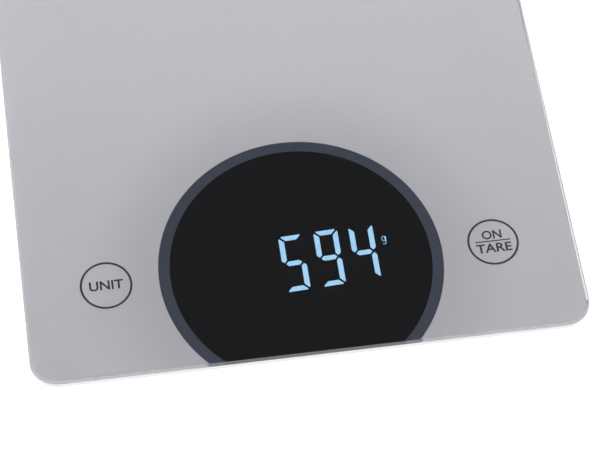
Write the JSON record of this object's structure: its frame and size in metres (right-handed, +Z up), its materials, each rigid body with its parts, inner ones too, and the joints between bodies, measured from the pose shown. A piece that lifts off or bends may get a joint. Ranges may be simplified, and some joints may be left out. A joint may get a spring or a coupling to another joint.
{
  "type": "kitchen scale",
  "caption": "Flat glass kitchen scale with a round light-digit display cut off by the front edge, a touch key on each side, load-cell feet and a hinged battery door.",
  "frame": {"origin": "on the surface the feet stand on, under the centre of the glass", "axes": "+X to the user's right, +Y from the display edge to the back, +Z up"},
  "size_m": [0.2, 0.24, 0.022],
  "materials": {
    "clear_glass": "polished, toughened",
    "silver_ink": "silver-grey screen print seen through glass",
    "slate_ink": "dark slate screen print",
    "smoked_ink": "smoked translucent screen print",
    "legend_ink": "dark screen print",
    "foam_tape": "foam",
    "housing_plastic": "fine spark texture",
    "label_film": "satin film",
    "door_plastic": "fine spark texture",
    "foam": "open foam",
    "spring_steel": "drawn wire",
    "nickel_plate": "nickel plated",
    "board_laminate": "solder mask",
    "header_plastic": "moulded",
    "reflector_plastic": "moulded black",
    "lit_resin": "translucent resin, lit",
    "clear_resin": "translucent resin, unlit",
    "led_package": "phosphor",
    "chip_epoxy": "moulded epoxy",
    "capacitor_ceramic": "bare ceramic",
    "resistor_ceramic": "glazed",
    "connector_plastic": "natural nylon",
    "screw_steel": "zinc plated",
    "gauge_epoxy": "cured bead",
    "lead_insulation": "ribbon cable",
    "battery_wrap": "printed sleeve on a metal can",
    "copper_foil": "copper foil",
    "cell_steel": "nickel-plated spring steel",
    "cup_plastic": "moulded",
    "foot_rubber": "matt rubber"
  },
  "bodies": {
    "scale_body": {"glass_platform": "clear_glass", "background_print": "silver_ink", "ring_print": "slate_ink", "display_window": "smoked_ink", "key_outlines": "legend_ink", "adhesive_frame": "foam_tape", "base_housing": "housing_plastic", "rating_label": "label_film", "contact_springs": "spring_steel", "contact_plates": "nickel_plate", "main_board": "board_laminate", "display_board": "board_laminate", "display_header": "header_plastic", "display_reflector": "reflector_plastic", "unit_symbol_guide": "lit_resin", "segments_lit": "lit_resin", "segments_unlit": "clear_resin", "led_chips": "led_package", "controller_chip": "chip_epoxy", "amplifier_chip": "chip_epoxy", "capacitors": "capacitor_ceramic", "resistors": "resistor_ceramic", "lead_connectors": "connector_plastic", "board_screws": "screw_steel", "strain_gauges": "gauge_epoxy", "load_cell_screws": "screw_steel", "battery_lead": "lead_insulation", "battery_1": "battery_wrap", "battery_2": "battery_wrap", "battery_3": "battery_wrap", "touch_pad_left": "copper_foil", "touch_pad_right": "copper_foil", "touch_spring_left": "spring_steel", "touch_spring_right": "spring_steel", "load_cell_front_left": "cell_steel", "foot_cup_front_left": "cup_plastic", "foot_pad_front_left": "foot_rubber", "load_cell_lead_front_left": "lead_insulation", "load_cell_front_right": "cell_steel", "foot_cup_front_right": "cup_plastic", "foot_pad_front_right": "foot_rubber", "load_cell_lead_front_right": "lead_insulation", "load_cell_back_left": "cell_steel", "foot_cup_back_left": "cup_plastic", "foot_pad_back_left": "foot_rubber", "load_cell_lead_back_left": "lead_insulation", "load_cell_back_right": "cell_steel", "foot_cup_back_right": "cup_plastic", "foot_pad_back_right": "foot_rubber", "load_cell_lead_back_right": "lead_insulation"},
    "battery_door": {"battery_door": "door_plastic", "door_cushion": "foam"}
  },
  "joints": [
    {"name": "battery_door_hinge", "type": "hinge", "parent": "scale_body", "child": "battery_door", "pos_m": [0, 0.0044, 0.0044], "axis": [-1, 0, 0], "range_deg": [0, 80]}
  ]
}
